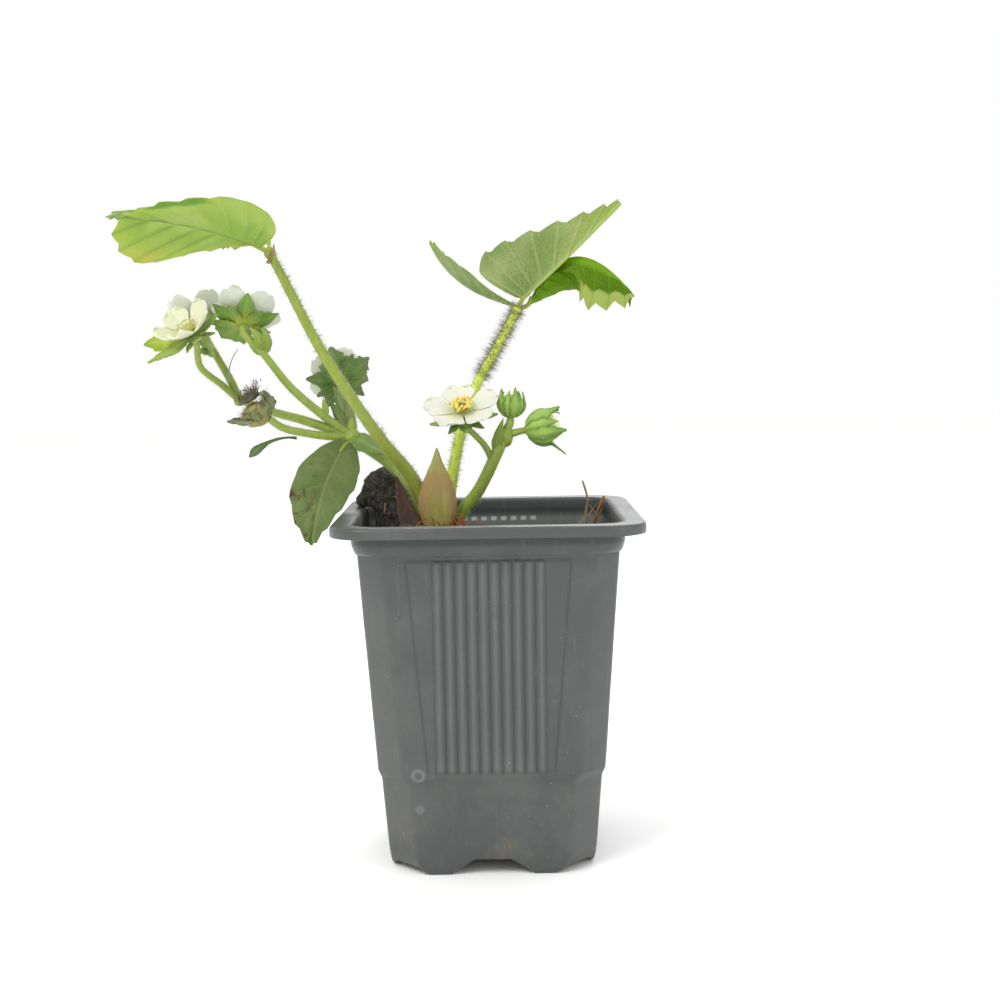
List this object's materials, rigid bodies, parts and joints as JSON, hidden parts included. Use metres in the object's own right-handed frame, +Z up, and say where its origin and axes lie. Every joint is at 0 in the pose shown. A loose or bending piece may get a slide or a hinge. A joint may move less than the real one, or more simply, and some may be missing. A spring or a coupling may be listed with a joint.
{
  "type": "potted strawberry plant",
  "caption": "Young strawberry plant in flower, with leaves, buds and a hanging bract, growing in soil in a small square ribbed nursery pot.",
  "frame": {"origin": "middle of the pot's underside, on the plane the pot stands on", "axes": "+Z up, -Y towards the side the picture was taken from, +X to the right of that side"},
  "size_m": [0.1571, 0.0886, 0.1947],
  "materials": {
    "pot": "satin",
    "soil": "rough",
    "crown": "rough",
    "sheath": "satin",
    "stipule": "matte",
    "petiole": "satin",
    "leaf_pale": "matte",
    "leaf_dark": "satin",
    "old_leaf": "matte",
    "stalk": "satin",
    "petal": "matte",
    "calyx": "matte",
    "centre": "matte",
    "dry": "matte",
    "spent": "matte"
  },
  "bodies": {
    "root": {"pot": "pot", "soil": "soil", "crown": "crown", "leaf_sheath": "sheath", "brown_stipule": "stipule", "front_stipule": "stipule", "right_stipule": "stipule", "left_petiole": "petiole", "left_leaflet_near": "leaf_pale", "left_leaflet_end": "leaf_dark", "left_leaflet_far": "leaf_dark", "right_petiole": "petiole", "right_leaflet_end": "leaf_pale", "right_leaflet_side": "leaf_dark", "right_leaflet_back": "leaf_pale", "left_flower_stalks": "stalk", "hanging_bract": "old_leaf", "strap_bract": "old_leaf", "dry_stalk": "dry", "dry_stick": "dry", "right_flower_stalks": "stalk", "outer_flower_petals": "petal", "outer_flower_calyx": "calyx", "outer_flower_centre": "centre", "back_flower_petals": "petal", "back_flower_calyx": "calyx", "back_flower_centre": "centre", "top_flower_petals": "petal", "top_flower_calyx": "calyx", "top_flower_centre": "centre", "middle_flower_petals": "petal", "middle_flower_calyx": "calyx", "middle_flower_centre": "centre", "right_flower_petals": "petal", "right_flower_calyx": "calyx", "right_flower_centre": "centre", "upright_bud": "calyx", "side_bud": "calyx", "spent_flower_calyx": "spent", "spent_flower_stamens": "dry"}
  },
  "joints": []
}
